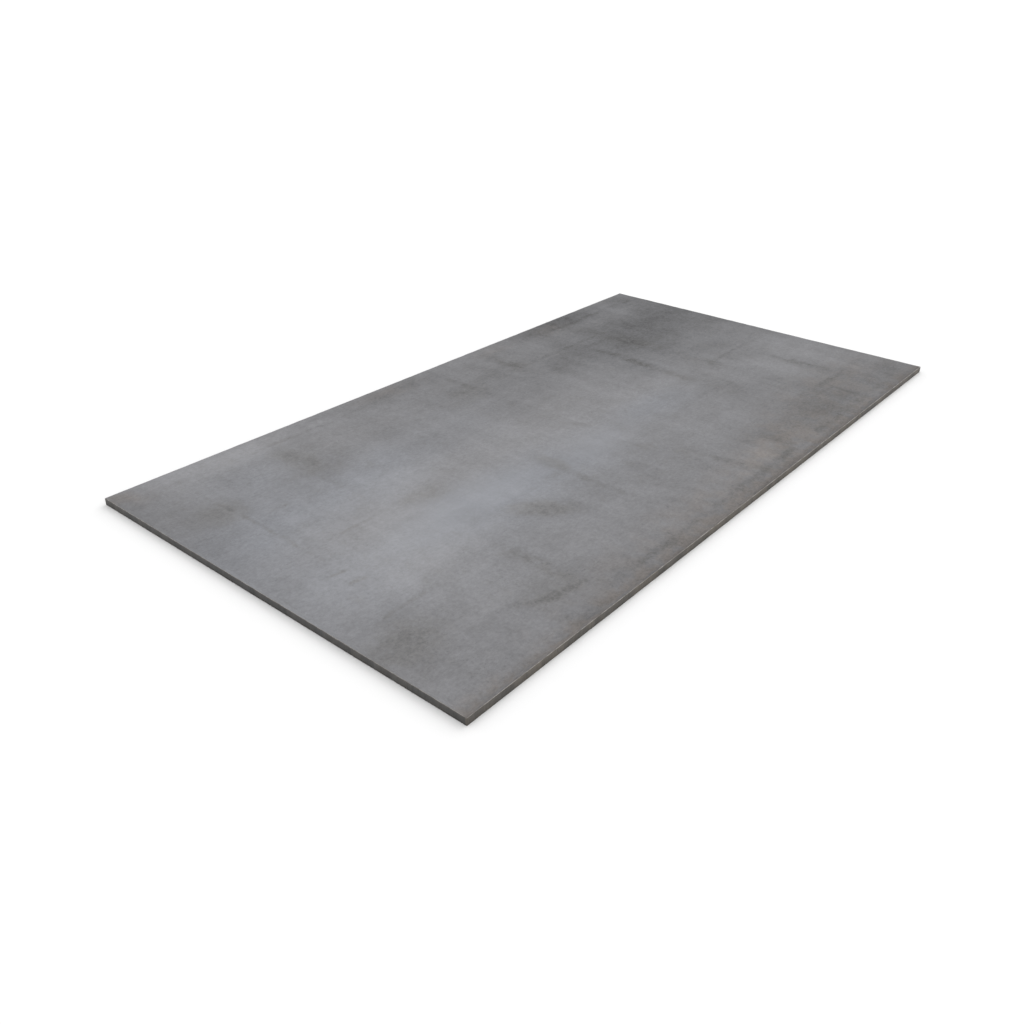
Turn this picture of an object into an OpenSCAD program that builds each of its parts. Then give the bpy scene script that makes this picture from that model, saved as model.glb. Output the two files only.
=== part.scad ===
// Hot-rolled steel plate, cut to length, lying flat.
// Units are millimetres. X runs along the plate, Y across it and Z up.
// The origin is the middle of the underside.

/* [Plate] */
// Length along X
plate_l = 2310; // [250:5:12000]
// Width along Y
plate_w = 1250; // [250:5:4000]
// Thickness along Z
plate_t = 20; // [6:1:100]

/* [Edges] */
// Radius of the arris where the top face rolls over into the four cut edges
top_arris_r = 1.5; // [0.3:0.1:2.8]
// Radius of the arris round the underside, where the cut breaks out sharper
bottom_arris_r = 0.8; // [0.3:0.1:2.8]
// Radius of the four upright corners, seen from above
corner_r = 2; // [0.5:0.5:10]

/* [Hidden] */
$fn = 64;
// How far a cutting shape runs past the surface that it cuts
overcut = 1;

// What rounds one corner off: a square beyond the corner, less the disc that stays.
// The corner is at the origin, and the material lies towards -X and -Y.
module corner_waste(radius) {
    difference() {
        translate([-radius, -radius]) square(radius + overcut);
        translate([-radius, -radius]) circle(radius);
    }
}

// Cross-section of the plate, as wide as span, standing on the X axis.
module plate_section(span) {
    difference() {
        translate([-span / 2, 0]) square([span, plate_t]);
        for (side = [-1, 1]) {
            translate([side * span / 2, plate_t]) scale([side, 1]) corner_waste(top_arris_r);
            translate([side * span / 2, 0]) scale([side, -1]) corner_waste(bottom_arris_r);
        }
    }
}

// Outline of the plate seen from above, with its four corners rounded.
module plate_outline() {
    difference() {
        square([plate_l, plate_w], center = true);
        for (x = [-1, 1], y = [-1, 1])
            translate([x * plate_l / 2, y * plate_w / 2]) scale([x, y]) corner_waste(corner_r);
    }
}

// The plate itself: its outline, and its two cross-sections run the full length and the full width.
module steel_plate() {
    color([0.53, 0.53, 0.54])
    intersection() {
        linear_extrude(height = plate_t) plate_outline();
        rotate([90, 0, 0]) linear_extrude(height = plate_w, center = true) plate_section(plate_l);
        rotate([90, 0, 90]) linear_extrude(height = plate_l, center = true) plate_section(plate_w);
    }
}

steel_plate();
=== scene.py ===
"""A hot-rolled steel plate, flame cut to a rectangle, lying on a pale studio floor.

The plate is one piece of stock. It is modelled here in full, with its worn arris, its slightly
wavy cut and its mill scale, and stands for the frame's own node. All sizes are in metres.
"""

import logging
import math
from collections.abc import Callable, Iterator, Mapping
from contextlib import contextmanager
from dataclasses import dataclass, field
from enum import Enum

import bmesh
import bpy
from mathutils import Matrix, Vector


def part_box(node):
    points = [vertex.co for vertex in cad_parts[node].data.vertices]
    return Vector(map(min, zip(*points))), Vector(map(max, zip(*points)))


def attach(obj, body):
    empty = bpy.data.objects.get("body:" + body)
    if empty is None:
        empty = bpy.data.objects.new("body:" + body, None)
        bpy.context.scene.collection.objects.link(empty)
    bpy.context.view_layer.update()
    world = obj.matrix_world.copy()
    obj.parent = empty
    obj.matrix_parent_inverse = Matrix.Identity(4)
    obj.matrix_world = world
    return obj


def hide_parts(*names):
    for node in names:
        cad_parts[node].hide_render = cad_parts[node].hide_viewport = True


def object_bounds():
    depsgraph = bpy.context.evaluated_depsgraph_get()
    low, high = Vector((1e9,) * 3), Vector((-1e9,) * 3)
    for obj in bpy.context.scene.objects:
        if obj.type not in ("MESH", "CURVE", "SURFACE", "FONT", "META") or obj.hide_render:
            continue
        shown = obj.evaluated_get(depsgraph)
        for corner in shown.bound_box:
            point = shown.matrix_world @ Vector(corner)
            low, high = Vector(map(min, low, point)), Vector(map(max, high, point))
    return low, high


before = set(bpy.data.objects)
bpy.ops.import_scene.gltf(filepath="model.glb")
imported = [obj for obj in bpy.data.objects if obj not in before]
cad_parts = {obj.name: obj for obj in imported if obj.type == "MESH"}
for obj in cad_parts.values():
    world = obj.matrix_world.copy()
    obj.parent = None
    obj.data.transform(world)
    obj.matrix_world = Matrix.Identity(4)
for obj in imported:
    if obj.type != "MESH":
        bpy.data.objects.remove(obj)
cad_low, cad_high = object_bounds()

log = logging.getLogger("steel_plate")

Colour = tuple[float, float, float, float]
Point = tuple[float, float, float]


# ---------------------------------------------------------------------------------------------
# Shader maths
# ---------------------------------------------------------------------------------------------


class Wire:
    """One output socket of a shader graph, on which plain arithmetic adds Math nodes."""

    def __init__(self, graph: "Graph", socket: bpy.types.NodeSocket) -> None:
        """Keeps the socket and the graph that it belongs to."""
        self.graph = graph
        self.socket = socket

    def __add__(self, other: "Wire | float") -> "Wire":
        """The sum of two values."""
        return self.graph.maths("ADD", self, other)

    def __radd__(self, other: float) -> "Wire":
        """The sum of a number and this value."""
        return self.graph.maths("ADD", other, self)

    def __sub__(self, other: "Wire | float") -> "Wire":
        """This value less another."""
        return self.graph.maths("SUBTRACT", self, other)

    def __rsub__(self, other: float) -> "Wire":
        """A number less this value."""
        return self.graph.maths("SUBTRACT", other, self)

    def __mul__(self, other: "Wire | float") -> "Wire":
        """The product of two values."""
        return self.graph.maths("MULTIPLY", self, other)

    def __rmul__(self, other: float) -> "Wire":
        """The product of a number and this value."""
        return self.graph.maths("MULTIPLY", other, self)

    def __gt__(self, other: "Wire | float") -> "Wire":
        """1 where this value is the greater, else 0."""
        return self.graph.maths("GREATER_THAN", self, other)


class Graph:
    """The node tree of one material."""

    def __init__(self, name: str) -> None:
        """Makes the material, with an empty tree.

        Args:
            name: The material's name.
        """
        self.material = bpy.data.materials.new(name)
        self.material.use_nodes = True
        self.tree = self.material.node_tree
        self.tree.nodes.clear()

    def add(
        self,
        kind: str,
        settings: Mapping[str, object] | None = None,
        inputs: Mapping[int | str, object] | None = None,
    ) -> bpy.types.Node:
        """Adds one node.

        Args:
            kind: The node's type name.
            settings: Properties that are set before the sockets are.
            inputs: Values or wires of its sockets, by name or number.

        Returns:
            The node.
        """
        made = self.tree.nodes.new(kind)
        for name, value in (settings or {}).items():
            setattr(made, name, value)
        for key, value in (inputs or {}).items():
            if isinstance(value, Wire):
                self.tree.links.new(value.socket, made.inputs[key])
            else:
                made.inputs[key].default_value = value
        return made

    def node(
        self,
        kind: str,
        settings: Mapping[str, object] | None = None,
        inputs: Mapping[int | str, object] | None = None,
        output: int | str = 0,
    ) -> Wire:
        """Adds one node, and gives the output that is wanted of it, by name or number."""
        return Wire(self, self.add(kind, settings, inputs).outputs[output])

    def maths(self, operation: str, a: Wire | float, b: Wire | float = 0.0) -> Wire:
        """One Math node on two values."""
        return self.node("ShaderNodeMath", {"operation": operation}, {0: a, 1: b})

    def place(self) -> Wire:
        """The point on the plate, in metres from the middle of its underside."""
        return self.node("ShaderNodeTexCoord", output="Object")

    def axis(self, vector: Wire, name: str) -> Wire:
        """One of a vector's three numbers, by its name X, Y or Z."""
        return self.node("ShaderNodeSeparateXYZ", inputs={0: vector}, output=name)

    def stretched(self, vector: Wire, by: Point) -> Wire:
        """A vector with each of its numbers multiplied by its own factor."""
        return self.node("ShaderNodeVectorMath", {"operation": "MULTIPLY"}, {0: vector, 1: by})

    def shifted(self, vector: Wire, by: Wire | Point) -> Wire:
        """The sum of two vectors."""
        return self.node("ShaderNodeVectorMath", {"operation": "ADD"}, {0: vector, 1: by})

    def scaled(self, vector: Wire, by: Wire | float) -> Wire:
        """A vector or colour times one number."""
        return self.node("ShaderNodeVectorMath", {"operation": "SCALE"}, {0: vector, "Scale": by})

    def noise(
        self, vector: Wire, scale: float, detail: float, roughness: float = 0.5, output: str = "Fac"
    ) -> Wire:
        """Fractal noise.

        Args:
            vector: The point that it is read at.
            scale: Lumps per metre.
            detail: Octaves.
            roughness: How strong each finer octave is.
            output: Fac for a value around one half, Color for three of them.

        Returns:
            The noise.
        """
        sockets = {"Vector": vector, "Scale": scale, "Detail": detail, "Roughness": roughness}
        return self.node("ShaderNodeTexNoise", inputs=sockets, output=output)

    def drift(self, vector: Wire, scale: float, by: float, detail: float = 3.0) -> Wire:
        """A vector pushed about at random, by up to about half of by either way."""
        push = self.noise(vector, scale, detail, output="Color")
        return self.shifted(vector, self.scaled(self.shifted(push, (-0.5, -0.5, -0.5)), by))

    def ramp(
        self, value: Wire, start: float, end: float, low: float = 0.0, high: float = 1.0, soft: bool = True
    ) -> Wire:
        """Turns one range of values into another, and holds its ends.

        Args:
            value: What is read.
            start: The value that gives low.
            end: The value that gives high.
            low: The result at start.
            high: The result at end.
            soft: True for an S-shaped way from one to the other.

        Returns:
            The new value.
        """
        way = {"interpolation_type": "SMOOTHSTEP" if soft else "LINEAR"}
        return self.node("ShaderNodeMapRange", way, {0: value, 1: start, 2: end, 3: low, 4: high})

    def mix(self, factor: Wire | float, a: Wire | Colour, b: Wire | Colour) -> Wire:
        """A colour between a, at factor 0, and b, at factor 1."""
        return self.node("ShaderNodeMix", {"data_type": "RGBA"}, {0: factor, 6: a, 7: b}, output=2)

    def bump(self, height: Wire, distance: float, strength: float) -> Wire:
        """A normal that follows a height between 0 and 1, which stands for distance metres."""
        sockets = {"Height": height, "Distance": distance, "Strength": strength}
        return self.node("ShaderNodeBump", inputs=sockets)

    def finish(self, sockets: Mapping[str, object]) -> bpy.types.Material:
        """Ends the tree in one Principled shader.

        Args:
            sockets: The shader's values and wires, by socket name.

        Returns:
            The finished material.
        """
        shader = self.node("ShaderNodeBsdfPrincipled", inputs=sockets, output="BSDF")
        self.add("ShaderNodeOutputMaterial", inputs={"Surface": shader})
        return self.material


@dataclass(frozen=True)
class Texture:
    """One layer of fractal texture.

    Attributes:
        scale: Lumps per metre.
        detail: Octaves.
        roughness: How strong each finer octave is.
        stretch: What the point is multiplied by first. A small number draws the lumps out that way.
        amount: How far it changes the tone.
    """

    scale: float
    detail: float
    roughness: float
    stretch: Point | None = None
    amount: float = 1.0

    def wire(self, graph: Graph, place: Wire) -> Wire:
        """Draws the layer.

        Args:
            graph: The graph that it is drawn in.
            place: The point that it is read at.

        Returns:
            Its value, around one half.
        """
        if self.stretch is not None:
            place = graph.stretched(place, self.stretch)
        return graph.noise(place, self.scale, self.detail, self.roughness)

    def swing(self, graph: Graph, place: Wire) -> Wire:
        """The same value, around zero."""
        return self.wire(graph, place) - 0.5


# ---------------------------------------------------------------------------------------------
# Marks on the top face
# ---------------------------------------------------------------------------------------------


class Kind(Enum):
    """What sort of mark it is. Each holds its outline's wanderings: how many a metre, how far, octaves."""

    CLOUD = ((2.5, 0.10, 3.0), (11.0, 0.06, 3.0))
    SMUDGE = ((7.0, 0.05, 3.0), (26.0, 0.03, 4.0))
    STREAK = ((6.0, 0.055, 6.0),)

    def wander(self, graph: Graph, place: Wire) -> Wire:
        """Pushes the point about, so that the outlines of marks of this sort aren't plain ovals.

        Args:
            graph: The graph that they are drawn in.
            place: The point on the plate.

        Returns:
            The point that they are read at.
        """
        for scale, by, detail in self.value:
            place = graph.drift(place, scale, by, detail)
        return place


# A mark reaches this far up and down, so that height makes no difference to it.
MARK_DEPTH = 100.0


@dataclass(frozen=True)
class Mark:
    """One soft oval mark.

    Attributes:
        at: Its middle, along X and Y.
        reach: Half its length and half its width.
        tone: What it adds to a tone of 1: above 0 it lightens, below 0 it darkens.
        turn: The way its length runs, in degrees from X.
    """

    at: tuple[float, float]
    reach: tuple[float, float]
    tone: float
    turn: float = 0.0

    def wire(self, graph: Graph, place: Wire) -> Wire:
        """The mark's own share of the tone.

        Args:
            graph: The graph that it is drawn in.
            place: The point on the plate, already made to wander.

        Returns:
            tone at its middle, falling to 0 at its rim.
        """
        sockets = {
            "Vector": place,
            "Location": (*self.at, 0.0),
            "Rotation": (0.0, 0.0, math.radians(self.turn)),
            "Scale": (*self.reach, MARK_DEPTH),
        }
        oval = graph.node("ShaderNodeMapping", {"vector_type": "TEXTURE"}, sockets)
        ball = {"gradient_type": "SPHERICAL"}
        inward = graph.node("ShaderNodeTexGradient", ball, {"Vector": oval}, output="Fac")
        return graph.ramp(inward, 0.0, 1.0, 0.0, self.tone)


def tone_of(graph: Graph, place: Wire, marks: tuple[Mark, ...]) -> Wire:
    """The sum of several marks.

    Args:
        graph: The graph that they are drawn in.
        place: The point on the plate, already made to wander.
        marks: The marks, at least one.

    Returns:
        What they add to the tone together.
    """
    total = marks[0].wire(graph, place)
    for mark in marks[1:]:
        total = total + mark.wire(graph, place)
    return total


# The broad lighter and darker areas that rolling, cooling and stacking left in the scale.
CLOUDS = (
    Mark((-0.66, -0.11), (0.46, 0.20), 0.15),
    Mark((-0.30, -0.10), (0.55, 0.24), 0.10),
    Mark((0.20, -0.05), (0.80, 0.26), 0.12),
    Mark((-0.80, 0.17), (0.44, 0.24), 0.09),
    Mark((-0.80, 0.59), (0.28, 0.09), 0.16),
    Mark((-0.93, -0.14), (0.30, 0.18), 0.14),
    Mark((-0.45, 0.15), (0.45, 0.20), 0.05),
    Mark((0.15, 0.59), (0.22, 0.07), 0.09),
    Mark((1.03, -0.26), (0.16, 0.24), 0.10),
    Mark((0.35, 0.12), (0.40, 0.16), 0.05),
    Mark((0.84, 0.34), (0.62, 0.40), -0.17),
    Mark((0.90, 0.31), (0.30, 0.20), -0.07),
    Mark((0.50, 0.30), (0.30, 0.22), -0.05),
    Mark((0.68, 0.61), (0.34, 0.11), -0.12),
    Mark((0.62, -0.50), (0.80, 0.20), -0.08),
    Mark((-0.55, -0.50), (0.70, 0.20), -0.06),
    Mark((0.00, -0.64), (2.40, 0.10), -0.13),
    Mark((1.17, 0.20), (0.09, 0.55), -0.10),
    Mark((-1.16, 0.20), (0.14, 0.50), -0.08),
    Mark((-0.20, 0.42), (0.55, 0.16), -0.06),
    Mark((-1.14, 0.55), (0.15, 0.22), -0.15),
    Mark((-0.72, -0.60), (0.62, 0.15), -0.12),
    Mark((1.10, 0.40), (0.15, 0.36), -0.10),
    Mark((-0.15, 0.56), (0.30, 0.11), -0.09),
    Mark((0.72, 0.57), (0.55, 0.10), -0.06),
    Mark((0.50, 0.09), (0.22, 0.13), -0.07),
    Mark((0.00, 0.30), (0.32, 0.20), -0.05),
    Mark((-0.80, -0.10), (0.42, 0.24), 0.13),
    Mark((-0.80, -0.24), (0.30, 0.12), 0.06),
    Mark((-0.60, 0.09), (0.50, 0.14), 0.11),
    Mark((0.75, 0.10), (0.60, 0.22), -0.06),
    Mark((1.10, 0.20), (0.20, 0.40), -0.04),
    Mark((-1.05, -0.50), (0.35, 0.20), -0.07),
    Mark((0.45, 0.60), (1.30, 0.14), -0.06),
    Mark((-1.12, 0.45), (0.16, 0.26), -0.07),
    Mark((-0.35, 0.58), (0.30, 0.12), -0.05),
    Mark((1.00, -0.56), (0.35, 0.10), -0.07),
    Mark((-0.35, -0.52), (0.30, 0.14), -0.05),
    Mark((0.35, 0.32), (0.55, 0.22), -0.04),
    Mark((0.90, -0.36), (0.55, 0.36), -0.04),
    Mark((-0.10, 0.10), (0.40, 0.12), 0.05),
    Mark((-0.75, -0.26), (0.30, 0.10), 0.05),
    Mark((-0.95, 0.03), (0.25, 0.16), 0.05),
    Mark((-1.10, -0.08), (0.16, 0.14), 0.06),
)

# Where the scale is smooth and clean, and shows less grain.
CLEAN = (
    Mark((-0.58, -0.10), (0.42, 0.17), 0.9),
    Mark((-0.08, -0.13), (0.34, 0.10), 0.9),
)

# Lighter patches, where something lay.
PATCHES = (
    Mark((0.83, -0.27), (0.11, 0.20), 0.12),
    Mark((0.18, -0.52), (0.15, 0.08), 0.09),
)

# Smaller smudges from handling.
SMUDGES = (
    Mark((0.70, 0.25), (0.12, 0.19), -0.13),
    Mark((0.69, 0.42), (0.07, 0.18), -0.08),
    Mark((-1.00, 0.33), (0.13, 0.12), -0.14),
    Mark((-0.68, 0.41), (0.11, 0.18), -0.15),
    Mark((-0.60, 0.03), (0.15, 0.07), -0.12),
    Mark((-0.47, -0.25), (0.15, 0.07), -0.19, -50),
    Mark((-1.06, -0.38), (0.17, 0.13), -0.16),
    Mark((-0.25, -0.11), (0.05, 0.11), -0.11),
    Mark((-0.02, 0.37), (0.22, 0.11), -0.13),
    Mark((0.14, 0.44), (0.14, 0.06), -0.07),
    Mark((0.64, -0.50), (0.32, 0.12), -0.08),
    Mark((-0.72, -0.48), (0.18, 0.10), -0.07),
    Mark((0.31, -0.46), (0.14, 0.10), -0.06),
    Mark((0.90, 0.02), (0.22, 0.08), -0.06),
)

# Narrow lines: the shadows of bearers, sling and roller lines, and scuffs.
STREAKS = (
    Mark((0.533, 0.00), (0.46, 0.038), -0.10, 88),
    Mark((0.545, 0.20), (0.20, 0.038), -0.15, 88),
    Mark((0.705, 0.06), (0.36, 0.044), -0.09, 90),
    Mark((0.237, 0.45), (0.16, 0.044), -0.16, 90),
    Mark((-0.98, 0.20), (0.46, 0.012), -0.12, 90),
    Mark((0.30, -0.575), (1.10, 0.024), -0.13),
    Mark((-0.45, -0.578), (0.22, 0.026), -0.14),
    Mark((0.85, -0.433), (0.42, 0.020), -0.13),
    Mark((0.85, -0.063), (0.42, 0.015), -0.11),
    Mark((0.25, 0.40), (0.56, 0.018), -0.09),
    Mark((-0.60, 0.55), (0.48, 0.014), -0.13),
    Mark((0.85, 0.548), (0.46, 0.018), -0.11),
    Mark((-0.76, -0.495), (0.13, 0.026), -0.19, -20),
    Mark((-0.66, -0.530), (0.15, 0.024), -0.14, -14),
    Mark((0.030, -0.300), (0.16, 0.030), -0.14, -66),
    Mark((0.090, -0.490), (0.14, 0.032), -0.16, -80),
    Mark((-0.67, -0.38), (0.20, 0.040), -0.15, 90),
    Mark((-0.797, -0.49), (0.18, 0.028), -0.12, 90),
    Mark((0.912, -0.29), (0.18, 0.030), -0.15, 90),
    Mark((0.295, -0.525), (0.09, 0.040), -0.13, 90),
    Mark((-0.855, 0.033), (0.15, 0.012), -0.12),
    Mark((-0.85, 0.242), (0.14, 0.012), -0.11),
    Mark((-0.97, -0.288), (0.14, 0.012), -0.15),
    Mark((-0.98, -0.150), (0.05, 0.013), -0.20),
    Mark((-0.98, -0.095), (0.08, 0.011), -0.15),
    Mark((0.00, 0.48), (0.20, 0.024), -0.10, 90),
    Mark((-0.255, -0.32), (0.26, 0.022), -0.08, 90),
    Mark((0.00, -0.02), (0.07, 0.022), -0.16, -65),
    Mark((0.33, -0.19), (0.30, 0.014), -0.07),
    Mark((0.62, 0.40), (0.30, 0.014), -0.07),
    Mark((-0.40, 0.60), (0.22, 0.016), -0.06),
    Mark((-0.72, 0.22), (0.34, 0.014), -0.05, 90),
    Mark((0.78, -0.52), (0.12, 0.022), -0.09, 90),
)

# Where the scale looks bluer, and where a little rust warms it.
COOL = (
    Mark((-0.45, -0.12), (0.85, 0.17), 0.9),
    Mark((-0.80, 0.20), (0.60, 0.22), 0.7),
    Mark((0.30, -0.12), (0.32, 0.14), 0.6),
    Mark((-0.85, 0.42), (0.30, 0.20), 0.5),
    Mark((-1.08, 0.00), (0.28, 0.52), 0.5),
    Mark((-0.50, -0.26), (0.85, 0.20), 0.3),
    Mark((-0.40, 0.22), (0.50, 0.24), 0.3),
)
RUSTY = (
    Mark((0.75, -0.47), (0.60, 0.20), 0.6),
    Mark((0.30, -0.52), (0.36, 0.14), 0.5),
    Mark((-0.10, -0.56), (1.10, 0.12), 0.5),
    Mark((-1.12, 0.58), (0.10, 0.10), 0.6),
    Mark((-0.20, 0.58), (0.24, 0.07), 0.4),
    Mark((0.30, 0.58), (0.16, 0.06), 0.4),
    Mark((0.60, 0.57), (0.18, 0.08), 0.5),
)


# ---------------------------------------------------------------------------------------------
# Finishes
# ---------------------------------------------------------------------------------------------


@dataclass(frozen=True)
class MillScale:
    """The grey skin that hot rolling leaves on both faces. Only the upper one has the marks.

    Attributes:
        middle: The height of the middle of the plate's thickness.
        half_width: Half the plate's width.
        apart: How much the height is stretched, so that the two faces' textures differ.
        tone: How light the skin is where nothing changes it.
        plain, cool, rusty, grimy: The skin's colours.
        mottle, smear: Broad unevenness, and streaks that flow.
        across, along: The fainter lines of rolling and of cleaning.
        crust, grain, pits: Fine texture, from coarse to fine.
        fleck, flecked: Dark specks, and where they gather.
        hair, cross: Hairline scratches both ways.
        break_up, rust_break_up: What breaks the streaks and the rust into patches.
        flow: How the smears bend: how many a metre, how far, octaves.
        calm: The share of the fine texture that is missing where the skin is clean.
        dark_rim, rusty_rim: How far in from the rusted side it is darker, and how far redder.
        fade_from, fade_to, fade: Where along X the skin darkens, and by how much in all. The darkening is
            partly darker scale and partly painted shade, standing in for light that falls off towards that
            end.
    """

    middle: float
    half_width: float
    apart: float = 60.0
    tone: float = 0.94
    plain: Colour = (0.207, 0.206, 0.213, 1.0)
    cool: Colour = (0.201, 0.207, 0.224, 1.0)
    rusty: Colour = (0.218, 0.201, 0.192, 1.0)
    grimy: Colour = (0.210, 0.205, 0.200, 1.0)
    mottle: Texture = Texture(4.5, 9.0, 0.66, amount=0.42)
    smear: Texture = Texture(9.0, 8.0, 0.70, amount=0.24)
    across: Texture = Texture(17.0, 6.0, 0.66, (1.0, 0.10, 1.0), 0.26)
    along: Texture = Texture(19.0, 6.0, 0.66, (0.10, 1.0, 1.0), 0.22)
    crust: Texture = Texture(34.0, 8.0, 0.74, amount=0.30)
    grain: Texture = Texture(120.0, 6.0, 0.80, (0.8, 1.0, 1.0), 0.84)
    pits: Texture = Texture(160.0, 5.0, 0.6)
    fleck: Texture = Texture(150.0, 4.0, 0.7, amount=0.20)
    flecked: Texture = Texture(7.5, 5.0, 0.6)
    hair: Texture = Texture(260.0, 3.0, 0.5, (0.06, 1.0, 1.0), 0.07)
    cross: Texture = Texture(230.0, 3.0, 0.5, (1.0, 0.08, 1.0), 0.07)
    break_up: Texture = Texture(15.0, 8.0, 0.78)
    rust_break_up: Texture = Texture(16.0, 6.0, 0.65)
    flow: tuple[float, float, float] = (5.0, 0.30, 4.0)
    calm: float = 0.55
    dark_rim: float = 0.034
    rusty_rim: float = 0.060
    fade_from: float = -0.78
    fade_to: float = 0.55
    fade: float = -0.19

    def material(self) -> bpy.types.Material:
        """Draws the skin.

        Returns:
            The finished material.
        """
        g = Graph("mill_scale")
        place = g.place()
        upper = g.axis(place, "Z") > self.middle
        deep = g.stretched(place, (1.0, 1.0, self.apart))
        cloudy = Kind.CLOUD.wander(g, deep)
        smudgy = Kind.SMUDGE.wander(g, deep)
        crust = self.crust.wire(g, deep)

        stains = self.stains(g, deep, smudgy, crust)
        areas = tone_of(g, cloudy, CLOUDS) + tone_of(g, smudgy, PATCHES)
        marks = (areas + stains + self.ends_and_rim(g, place)) * upper
        mottle = self.mottle.swing(g, deep)
        smear = self.smear.swing(g, g.drift(deep, *self.flow))
        grain = self.grain.swing(g, deep)
        uneven = mottle * self.mottle.amount + smear * self.smear.amount
        rolled = self.across.swing(g, deep) * self.across.amount
        rolled = rolled + self.along.swing(g, deep) * self.along.amount
        clean = tone_of(g, cloudy, CLEAN) * upper
        fine = self.fine(g, deep, grain, crust) * (1.0 - clean * self.calm)

        blue = tone_of(g, cloudy, COOL) * upper + (mottle * 0.8 + 0.1)
        red = (tone_of(g, cloudy, RUSTY) + self.rim(g, place, self.rusty_rim) * 0.9) * upper
        red = red * g.ramp(self.rust_break_up.wire(g, deep), 0.36, 0.62, 0.2, 1.3)
        grime = g.ramp(stains * upper + (smear + crust - 0.5) * 0.35, -0.01, -0.16)
        skin = g.mix(g.ramp(blue, 0.0, 1.0, soft=False), self.plain, self.cool)
        skin = g.mix(g.ramp(red, 0.0, 1.0, soft=False), skin, self.rusty)
        skin = g.mix(grime * 0.5, skin, self.grimy)

        rough = 0.60 + (grain * 0.35 - marks * 0.30)
        return g.finish(
            {
                "Base Color": g.scaled(skin, self.tone + marks + uneven + rolled + fine),
                "Roughness": g.ramp(rough, 0.4, 0.85, 0.4, 0.85, soft=False),
                "Normal": g.bump(self.pits.wire(g, deep), 0.0009, 0.6),
                "Metallic": 0.10,
                "Specular IOR Level": 0.12,
            }
        )

    def stains(self, g: Graph, deep: Wire, smudgy: Wire, crust: Wire) -> Wire:
        """The smudges and streaks, broken up by the texture that they lie on.

        Args:
            g: The graph that they are drawn in.
            deep: The point, with its height stretched.
            smudgy: The same point, pushed about for smudges.
            crust: The coarse texture of the skin.

        Returns:
            What they add to the tone.
        """
        smudges = tone_of(g, smudgy, SMUDGES) * g.ramp(crust, 0.38, 0.60, 0.35, 1.4)
        broken = g.ramp(self.break_up.wire(g, deep), 0.38, 0.62, 0.05, 1.25)
        return smudges + tone_of(g, Kind.STREAK.wander(g, deep), STREAKS) * broken

    def fine(self, g: Graph, deep: Wire, grain: Wire, crust: Wire) -> Wire:
        """The fine texture: grain, crust, specks and hairline scratches.

        Args:
            g: The graph that it is drawn in.
            deep: The point, with its height stretched.
            grain: The finest texture, around zero.
            crust: The coarser one, around one half.

        Returns:
            What it adds to the tone.
        """
        specks = g.ramp(self.fleck.wire(g, deep), 0.54, 0.70) * self.fleck.amount
        gathered = g.ramp(self.flecked.wire(g, deep), 0.47, 0.66, 0.15, 1.0)
        hair = g.ramp(self.hair.wire(g, deep), 0.60, 0.72) * self.hair.amount
        cross = g.ramp(self.cross.wire(g, deep), 0.62, 0.74) * self.cross.amount
        coarse = (crust - 0.5) * self.crust.amount
        return grain * self.grain.amount + coarse - specks * gathered - hair - cross

    def ends_and_rim(self, g: Graph, place: Wire) -> Wire:
        """The darker skin towards the end at positive X, partly scale and partly painted shade, and along
        the rusted side.

        Args:
            g: The graph that it is drawn in.
            place: The point on the plate.

        Returns:
            What it adds to the tone.
        """
        along = g.axis(place, "X")
        # Painted shade: the skin darkens towards positive X, partly as darker scale and partly standing in
        # for light that falls off towards that end.
        darker_end_and_painted_shade = g.ramp(along, self.fade_from, self.fade_to, 0.0, self.fade, soft=False)
        return darker_end_and_painted_shade - self.rim(g, place, self.dark_rim) * 0.13

    def rim(self, g: Graph, place: Wire, reach: float) -> Wire:
        """A band along the long side at negative Y, where rain ran off and rusted the scale.

        Args:
            g: The graph that it is drawn in.
            place: The point on the plate.
            reach: The band's width.

        Returns:
            1 at the edge, falling to 0 at reach inside it.
        """
        return g.ramp(g.axis(place, "Y") + self.half_width, reach, 0.0)


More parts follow.
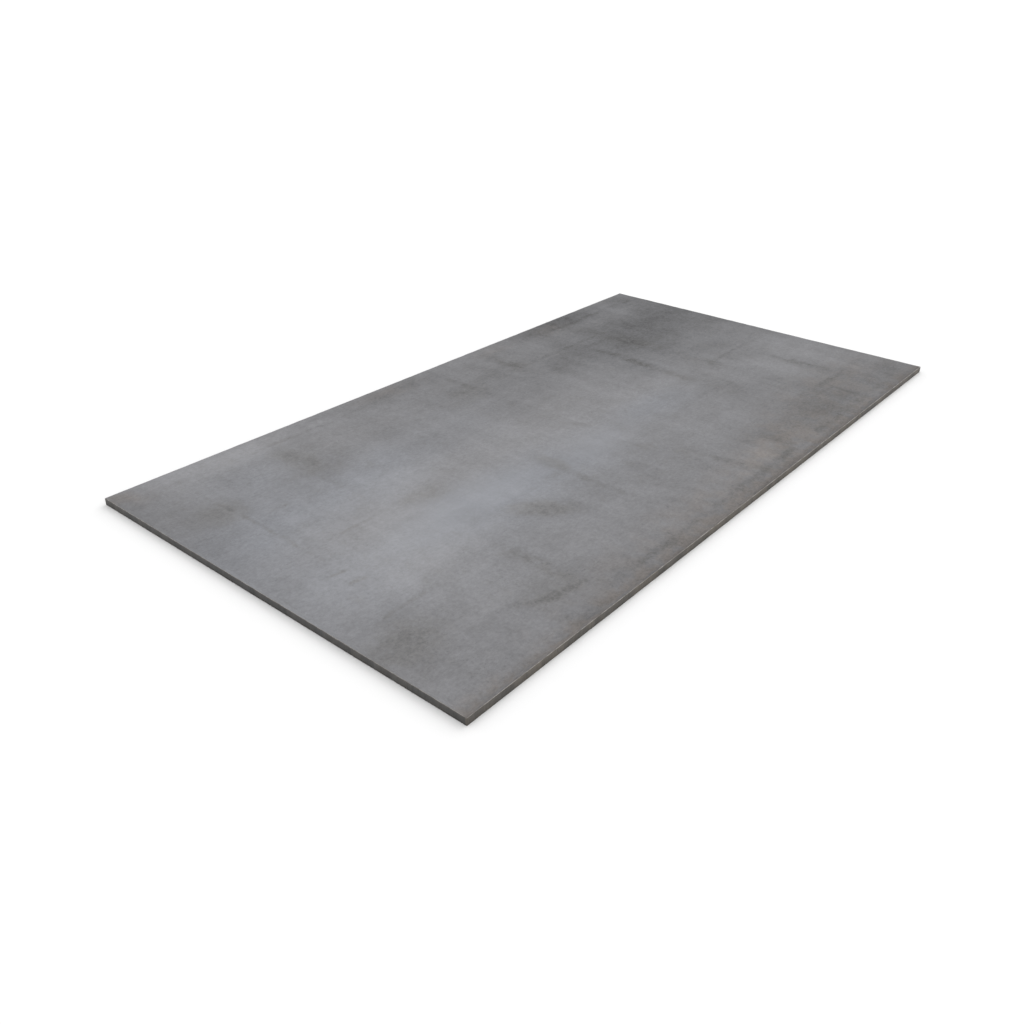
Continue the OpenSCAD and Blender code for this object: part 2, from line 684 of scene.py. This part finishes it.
@dataclass(frozen=True)
class CutEdge:
    """The walls that the cutting torch left, with upright drag lines. Painted light lightens the long
    sides, and painted shade darkens every wall towards its foot.

    Attributes:
        thickness: The plate's thickness.
        half_width: Half the plate's width. The long sides have rusted more than the ends, and carry
            painted light as well.
        skin: How far inside that a point still counts as on a long side.
        dark, brown: The oxide's two colours.
        drag, broad: The drag lines, and the wider bands where the torch ran unevenly.
        rust: Where the brown lies thickest.
        end_rust, side_rust: How brown that is at most, on the ends and more on the long sides.
        side_rust_and_painted_light: How brown and light the long sides are all over: partly rust, partly
            painted light that lightens them as lamp light on the near long side would.
    """

    thickness: float
    half_width: float
    skin: float = 0.004
    dark: Colour = (0.060, 0.059, 0.058, 1.0)
    brown: Colour = (0.130, 0.113, 0.092, 1.0)
    drag: Texture = Texture(330.0, 4.0, 0.65, amount=1.5)
    broad: Texture = Texture(38.0, 3.0, 0.6, amount=1.1)
    rust: Texture = Texture(17.0, 6.0, 0.65)
    end_rust: float = 0.15
    side_rust: float = 0.25
    side_rust_and_painted_light: float = 0.30

    def material(self) -> bpy.types.Material:
        """Draws the cut.

        Returns:
            The finished material.
        """
        g = Graph("cut_edge")
        place = g.place()
        upright = g.drift(g.stretched(place, (1.0, 1.0, 0.10)), 60.0, 0.002)
        drag = self.drag.wire(g, upright)
        broad = self.broad.swing(g, upright)
        long_side = g.maths("ABSOLUTE", g.axis(place, "Y")) > self.half_width - self.skin
        rust = g.ramp(self.rust.wire(g, place), 0.38, 0.62)
        # Painted light: the long sides are browned and lightened all over, partly as rust and partly
        # standing in for lamp light on the near long side.
        rust = rust * (self.end_rust + long_side * self.side_rust) + long_side * self.side_rust_and_painted_light
        tone = 1.0 + (drag - 0.5) * self.drag.amount + broad * self.broad.amount
        # Painted shade: the walls are lighter at the top and darker towards the foot, as light from above
        # and the floor's occlusion would make them.
        tone = tone * g.ramp(g.axis(place, "Z"), 0.0, self.thickness, 0.78, 1.16, soft=False)
        return g.finish(
            {
                "Base Color": g.scaled(g.mix(rust, self.dark, self.brown), tone),
                "Roughness": g.ramp(drag, 0.3, 0.7, 0.55, 0.75),
                "Normal": g.bump(drag, 0.0006, 0.7),
                "Metallic": 0.2,
                "Specular IOR Level": 0.35,
            }
        )


@dataclass(frozen=True)
class RubbedArris:
    """The narrow rounded corner between face and cut, rubbed bright by slings and gloves.

    Attributes:
        bright, dull: The rubbed steel, and the scale that is left between.
        rubbed: Where it is rubbed.
    """

    bright: Colour = (0.245, 0.230, 0.218, 1.0)
    dull: Colour = (0.140, 0.128, 0.117, 1.0)
    rubbed: Texture = Texture(46.0, 5.0, 0.7)

    def material(self) -> bpy.types.Material:
        """Draws the arris.

        Returns:
            The finished material.
        """
        g = Graph("rubbed_arris")
        worn = self.rubbed.wire(g, g.place())
        shade = g.mix(g.ramp(worn, 0.40, 0.58), self.dull, self.bright)
        return g.finish(
            {
                "Base Color": shade,
                "Roughness": g.ramp(worn, 0.3, 0.7, 0.6, 0.42),
                "Metallic": 0.45,
            }
        )


# ---------------------------------------------------------------------------------------------
# The plate
# ---------------------------------------------------------------------------------------------


@contextmanager
def editing(piece: bpy.types.Object) -> Iterator[None]:
    """Opens a piece in edit mode, with nothing selected, and closes it again.

    Args:
        piece: The mesh to edit, which becomes the only active and selected object.
    """
    bpy.ops.object.select_all(action="DESELECT")
    piece.select_set(True)
    bpy.context.view_layer.objects.active = piece
    bpy.ops.object.mode_set(mode="EDIT")
    bpy.ops.mesh.select_all(action="DESELECT")
    yield
    bpy.ops.object.mode_set(mode="OBJECT")


def select_edges(piece: bpy.types.Object, wanted: Callable[[bmesh.types.BMEdge], bool]) -> int:
    """Selects edges of the piece that is being edited, and nothing else.

    Args:
        piece: The piece.
        wanted: Says of each edge whether it is wanted.

    Returns:
        How many were selected.
    """
    bpy.ops.mesh.select_mode(type="EDGE")
    bpy.ops.mesh.select_all(action="DESELECT")
    shell = bmesh.from_edit_mesh(piece.data)
    chosen = [edge for edge in shell.edges if wanted(edge)]
    for edge in chosen:
        edge.select_set(True)
    bmesh.update_edit_mesh(piece.data)
    return len(chosen)


@dataclass(frozen=True)
class Wear:
    """How far the cut and the faces depart from a true box. All of it lies inside the box.

    Attributes:
        name: What it is called, also as its group of vertices.
        lump: The length of one of its lumps.
        depth: The most that it takes off.
        direction: NORMAL or Z.
        octaves: How many sizes of lump there are, each half the last.
    """

    name: str
    lump: float
    depth: float
    direction: str = "NORMAL"
    octaves: int = 3

    def cut(self, piece: bpy.types.Object, weights: Mapping[int, float]) -> None:
        """Takes the wear off the piece.

        Args:
            piece: The piece that is worn.
            weights: The share of the depth at each vertex, by number.
        """
        group = piece.vertex_groups.new(name=self.name)
        for index, weight in weights.items():
            group.add([index], weight, "REPLACE")
        lumps = bpy.data.textures.new(self.name, type="CLOUDS")
        lumps.noise_scale = self.lump
        lumps.noise_depth = self.octaves
        worn = piece.modifiers.new(self.name, "DISPLACE")
        worn.texture = lumps
        worn.vertex_group = self.name
        worn.direction = self.direction
        worn.strength = self.depth
        worn.mid_level = 1.0
        bpy.ops.object.modifier_apply(modifier=self.name)


class Skin(Enum):
    """What a face of the plate is covered with. Each holds its material's number."""

    SCALE = 0
    CUT = 1
    ARRIS = 2


class Sheet(Enum):
    """The parts of the flat map. Each holds its left, right, bottom and top, from 0 to 1."""

    TOP = (0.004, 0.996, 0.394, 0.996)
    UNDERSIDE = (0.004, 0.996, 0.112, 0.388)
    SIDE_MINUS = (0.004, 0.996, 0.078, 0.106)
    SIDE_PLUS = (0.004, 0.996, 0.042, 0.070)
    END_MINUS = (0.004, 0.496, 0.006, 0.034)
    END_PLUS = (0.504, 0.996, 0.006, 0.034)


@dataclass
class SteelPlate:
    """The plate, from its sizes to its finishes.

    Attributes:
        low, high: Its lowest and highest corners.
        cell: The spacing of the mesh on its faces.
        top_arris, bottom_arris: Radii of the rounded edges.
        corner: Radius of the four upright corners.
        corner_steps, top_steps, bottom_steps: Faces round each of those curves.
        rows: Rows of faces up each wall.
        near: How close two places are that count as one.
        crease: The angle in degrees past which two faces meet in a sharp edge.
        waves, wander, nicks: The wear of the faces, of the cut and of the top arris.
        arris_room, foot_room: The shares of a wall's strip on the map that its two arrises get.
    """

    low: Vector
    high: Vector
    cell: float = 0.0125
    top_arris: float = 0.0015
    bottom_arris: float = 0.0008
    corner: float = 0.002
    corner_steps: int = 4
    top_steps: int = 4
    bottom_steps: int = 3
    rows: int = 4
    near: float = 0.00001
    crease: float = 40.0
    waves: Wear = Wear("rolling_waves", 0.55, 0.0006, "Z")
    wander: Wear = Wear("torch_wander", 0.06, 0.0006)
    nicks: Wear = Wear("arris_nicks", 0.03, 0.0011)
    arris_room: float = 0.25
    foot_room: float = 0.12
    piece: bpy.types.Object = field(init=False)

    @property
    def size(self) -> Vector:
        """Length, width and thickness."""
        return self.high - self.low

    def build(self) -> bpy.types.Object:
        """Models the plate and dresses it.

        Returns:
            The finished piece.
        """
        self.rough_out()
        self.round_off()
        self.map_surface()
        self.wear()
        self.dress()
        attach(self.piece, "root")
        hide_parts("steel_plate")
        return self.piece

    def rough_out(self) -> None:
        """Makes a sharp block: a grid the size of the top face, extruded down to the underside."""
        middle = (self.low + self.high) / 2
        bpy.ops.object.select_all(action="DESELECT")
        bpy.ops.mesh.primitive_grid_add(
            x_subdivisions=round(self.size.x / self.cell),
            y_subdivisions=round(self.size.y / self.cell),
            size=1.0,
            calc_uvs=False,
            location=(middle.x, middle.y, self.high.z),
        )
        self.piece = bpy.context.active_object
        self.piece.name = self.piece.data.name = "plate_stock"
        self.piece.scale = (self.size.x, self.size.y, 1.0)
        bpy.ops.object.transform_apply(location=True, rotation=True, scale=True)
        with editing(self.piece):
            bpy.ops.mesh.select_all(action="SELECT")
            down = {"value": (0.0, 0.0, -self.size.z)}
            bpy.ops.mesh.extrude_region_move(TRANSFORM_OT_translate=down)
            bpy.ops.mesh.select_all(action="SELECT")
            bpy.ops.mesh.normals_make_consistent(inside=False)

    def round_off(self) -> None:
        """Rounds the upright corners and both arrises, then cuts the walls into rows."""
        with editing(self.piece):
            found = select_edges(self.piece, self.is_corner)
            bpy.ops.mesh.bevel(offset=self.corner, segments=self.corner_steps, affect="EDGES")
            log.info("rounded %d upright corners", found)
            for height, radius, steps in (
                (self.high.z, self.top_arris, self.top_steps),
                (self.low.z, self.bottom_arris, self.bottom_steps),
            ):
                found = select_edges(self.piece, lambda edge: self.is_arris(edge, height))
                bpy.ops.mesh.bevel(offset=radius, segments=steps, affect="EDGES")
                log.info("rounded an arris of %d edges at height %.3f m", found, height)
            bottom, top = self.low.z + self.bottom_arris, self.high.z - self.top_arris
            for row in range(1, self.rows):
                bpy.ops.mesh.select_all(action="SELECT")
                height = bottom + (top - bottom) * row / self.rows
                bpy.ops.mesh.bisect(plane_co=(0.0, 0.0, height), plane_no=(0.0, 0.0, 1.0))

    def is_corner(self, edge: bmesh.types.BMEdge) -> bool:
        """Tells the four upright edges of the block from all others.

        Args:
            edge: An edge of the sharp block.

        Returns:
            True if it stands upright at a corner.
        """
        a, b = (v.co for v in edge.verts)
        upright = (a.xy - b.xy).length < self.near
        return upright and all(abs(abs(a[i]) - self.high[i]) < self.near for i in range(2))

    def is_arris(self, edge: bmesh.types.BMEdge, height: float) -> bool:
        """Tells the edges of one arris from all others.

        Args:
            edge: An edge of the block.
            height: The arris's height.

        Returns:
            True if it lies at that height, between a face and a wall.
        """
        level = all(abs(v.co.z - height) < self.near for v in edge.verts)
        return level and any(abs(f.normal.z) < 0.5 for f in edge.link_faces)

    def wear(self) -> None:
        """Makes the top face slightly wavy, the cut uneven and the top arris nicked."""
        bpy.context.view_layer.objects.active = self.piece
        points = [v.co.copy() for v in self.piece.data.vertices]
        heights = {i: (p.z - self.low.z) / self.size.z for i, p in enumerate(points)}
        outside = {i for i, p in enumerate(points) if not self.is_inside(p, self.top_arris + self.near)}
        arris = {i for i in outside if points[i].z > self.high.z - self.top_arris - self.near}
        self.waves.cut(self.piece, heights)
        self.wander.cut(self.piece, dict.fromkeys(outside - arris, 1.0))
        self.nicks.cut(self.piece, dict.fromkeys(arris, 1.0))

    def is_inside(self, point: Vector, by: float) -> bool:
        """Whether a point is further inside all four walls than by, seen from above."""
        return abs(point.x) < self.high.x - by and abs(point.y) < self.high.y - by

    def dress(self) -> None:
        """Gives the faces, the cut and the arris their finishes, and smooths the shading."""
        middle = (self.low.z + self.high.z) / 2
        scale = MillScale(middle, self.high.y)
        cut = CutEdge(self.size.z, self.high.y)
        for finish in (scale, cut, RubbedArris()):
            self.piece.data.materials.append(finish.material())
        for face in self.piece.data.polygons:
            face.material_index = self.skin_of(face.center).value
        bpy.ops.object.select_all(action="DESELECT")
        self.piece.select_set(True)
        bpy.context.view_layer.objects.active = self.piece
        bpy.ops.object.shade_smooth_by_angle(angle=math.radians(self.crease))
        flat = self.piece.modifiers.new("true_faces", "WEIGHTED_NORMAL")
        flat.keep_sharp = True
        bpy.ops.object.modifier_apply(modifier=flat.name)

    def skin_of(self, at: Vector) -> Skin:
        """What covers a face of the plate.

        Args:
            at: The face's middle.

        Returns:
            Scale inside the walls, and else arris or cut, by its height.
        """
        if self.is_inside(at, self.top_arris * 1.2):
            return Skin.SCALE
        return Skin.ARRIS if at.z > self.high.z - self.top_arris else Skin.CUT

    def map_surface(self) -> None:
        """Lays the surface out flat: the top face, the underside, and each wall as one strip."""
        layer = self.piece.data.uv_layers.new(name="OFBake")
        points = [v.co for v in self.piece.data.vertices]
        for face in self.piece.data.polygons:
            sheet = self.sheet_of(face.normal)
            for loop in face.loop_indices:
                point = points[self.piece.data.loops[loop].vertex_index]
                layer.data[loop].uv = self.spot_on(sheet, point)

    def sheet_of(self, normal: Vector) -> Sheet:
        """The part of the map that a face belongs to.

        Args:
            normal: The way that it faces.

        Returns:
            The top, the underside or one of the walls.
        """
        if abs(normal.z) > 0.999:
            return Sheet.TOP if normal.z > 0 else Sheet.UNDERSIDE
        if abs(normal.x) > abs(normal.y):
            return Sheet.END_PLUS if normal.x > 0 else Sheet.END_MINUS
        return Sheet.SIDE_PLUS if normal.y > 0 else Sheet.SIDE_MINUS

    def spot_on(self, sheet: Sheet, point: Vector) -> tuple[float, float]:
        """Where a point lies on the map.

        Args:
            sheet: The part of the map that its face belongs to.
            point: The point, before any wear.

        Returns:
            Its place across and up the map, each from 0 to 1.
        """
        left, right, bottom, top = sheet.value
        share = Vector(((point[i] - self.low[i]) / self.size[i] for i in range(3)))
        across = share.y if sheet in (Sheet.END_PLUS, Sheet.END_MINUS) else share.x
        up = share.y if sheet in (Sheet.TOP, Sheet.UNDERSIDE) else self.way_up(point.z)
        return left + (right - left) * across, bottom + (top - bottom) * up

    def way_up(self, height: float) -> float:
        """How far up a wall's strip on the map a height lies. Each arris gets more than its share.

        Args:
            height: The height, before any wear.

        Returns:
            0 at the strip's foot to 1 at its head.
        """
        over = height - (self.high.z - self.top_arris)
        under = (self.low.z + self.bottom_arris) - height
        quarter = math.pi / 2
        if over > 0.0:
            turned = math.asin(min(over / self.top_arris, 1.0)) / quarter
            return 1.0 - self.arris_room * (1.0 - turned)
        if under > 0.0:
            turned = math.asin(min(under / self.bottom_arris, 1.0)) / quarter
            return self.foot_room * (1.0 - turned)
        wall = self.size.z - self.top_arris - self.bottom_arris
        return self.foot_room - (1.0 - self.arris_room - self.foot_room) * under / wall


# ---------------------------------------------------------------------------------------------
# Studio
# ---------------------------------------------------------------------------------------------


@dataclass(frozen=True)
class Studio:
    """A pale floor without end, an even white sky and one broad soft lamp.

    Attributes:
        floor_size: The floor's side.
        floor_shade: Its colour.
        sky: The strength of the even light.
        lamp: The strength of the soft lamp.
        lamp_from: The way to the lamp.
        lamp_width: How broad the lamp looks, in degrees.
    """

    floor_size: float = 120.0
    floor_shade: Colour = (0.80, 0.80, 0.80, 1.0)
    sky: float = 1.13
    lamp: float = 0.88
    lamp_from: Point = (1.20, 0.10, 0.80)
    lamp_width: float = 50.0

    def build(self) -> None:
        """Lays the floor and lights it."""
        self.lay_floor()
        world = bpy.data.worlds.new("even_sky")
        bpy.context.scene.world = world
        world.use_nodes = True
        sky = world.node_tree.nodes["Background"]
        sky.inputs["Color"].default_value = (1.0, 1.0, 1.0, 1.0)
        sky.inputs["Strength"].default_value = self.sky
        bpy.ops.object.light_add(type="SUN", location=Vector(self.lamp_from) * 4)
        lamp = bpy.context.active_object
        lamp.name = "soft_lamp"
        lamp.data.energy = self.lamp
        lamp.data.angle = math.radians(self.lamp_width)
        lamp.rotation_euler = Vector(self.lamp_from).to_track_quat("Z", "Y").to_euler()

    def lay_floor(self) -> None:
        """Lays the floor at the height that the plate lies on."""
        bpy.ops.object.select_all(action="DESELECT")
        bpy.ops.mesh.primitive_plane_add(size=self.floor_size, location=(0.0, 0.0, cad_low.z))
        floor = bpy.context.active_object
        floor.name = floor.data.name = "pale_floor"
        bpy.ops.object.transform_apply(location=True, rotation=True, scale=True)
        g = Graph("pale_floor")
        sockets = {"Base Color": self.floor_shade, "Roughness": 0.95, "Specular IOR Level": 0.1}
        floor.data.materials.append(g.finish(sockets))


@dataclass(frozen=True)
class Viewpoint:
    """The camera: a standing person's, looking down along the plate from its near corner.

    Attributes:
        at: Where it is.
        azimuth, elevation, roll: The way it looks, in degrees.
        lens, sensor: Focal length and sensor width in millimetres.
        far: The furthest that it sees.
    """

    at: Point = (-2.1117, -1.5231, 1.2158)
    azimuth: float = -50.235
    elevation: float = 30.13
    roll: float = 0.61
    lens: float = 33.46
    sensor: float = 36.0
    far: float = 500.0

    def build(self) -> bpy.types.Object:
        """Makes the camera and hands the scene to it.

        Returns:
            The camera.
        """
        bpy.ops.object.camera_add()
        camera = bpy.context.active_object
        camera.name = "camera"
        camera.data.sensor_width = self.sensor
        camera.data.lens = self.lens
        camera.data.clip_end = self.far
        turn = Matrix.Rotation(math.radians(self.azimuth), 4, "Z")
        tilt = Matrix.Rotation(math.radians(90.0 - self.elevation), 4, "X")
        roll = Matrix.Rotation(math.radians(self.roll), 4, "Z")
        camera.matrix_world = Matrix.Translation(self.at) @ turn @ tilt @ roll
        bpy.context.scene.camera = camera
        return camera


def main() -> None:
    """Builds the plate, the studio and the camera in order."""
    logging.basicConfig(level=logging.INFO, format="%(name)s: %(message)s")
    plate = SteelPlate(*map(Vector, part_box("steel_plate")))
    piece = plate.build()
    log.info("built %s with %d faces", piece.name, len(piece.data.polygons))
    Studio().build()
    log.info("laid the floor and lit it")
    Viewpoint().build()
    log.info("placed the camera")
    scene = bpy.context.scene
    scene.view_settings.view_transform = "Standard"
    scene.view_settings.look = "None"


if __name__ == "__main__":
    main()
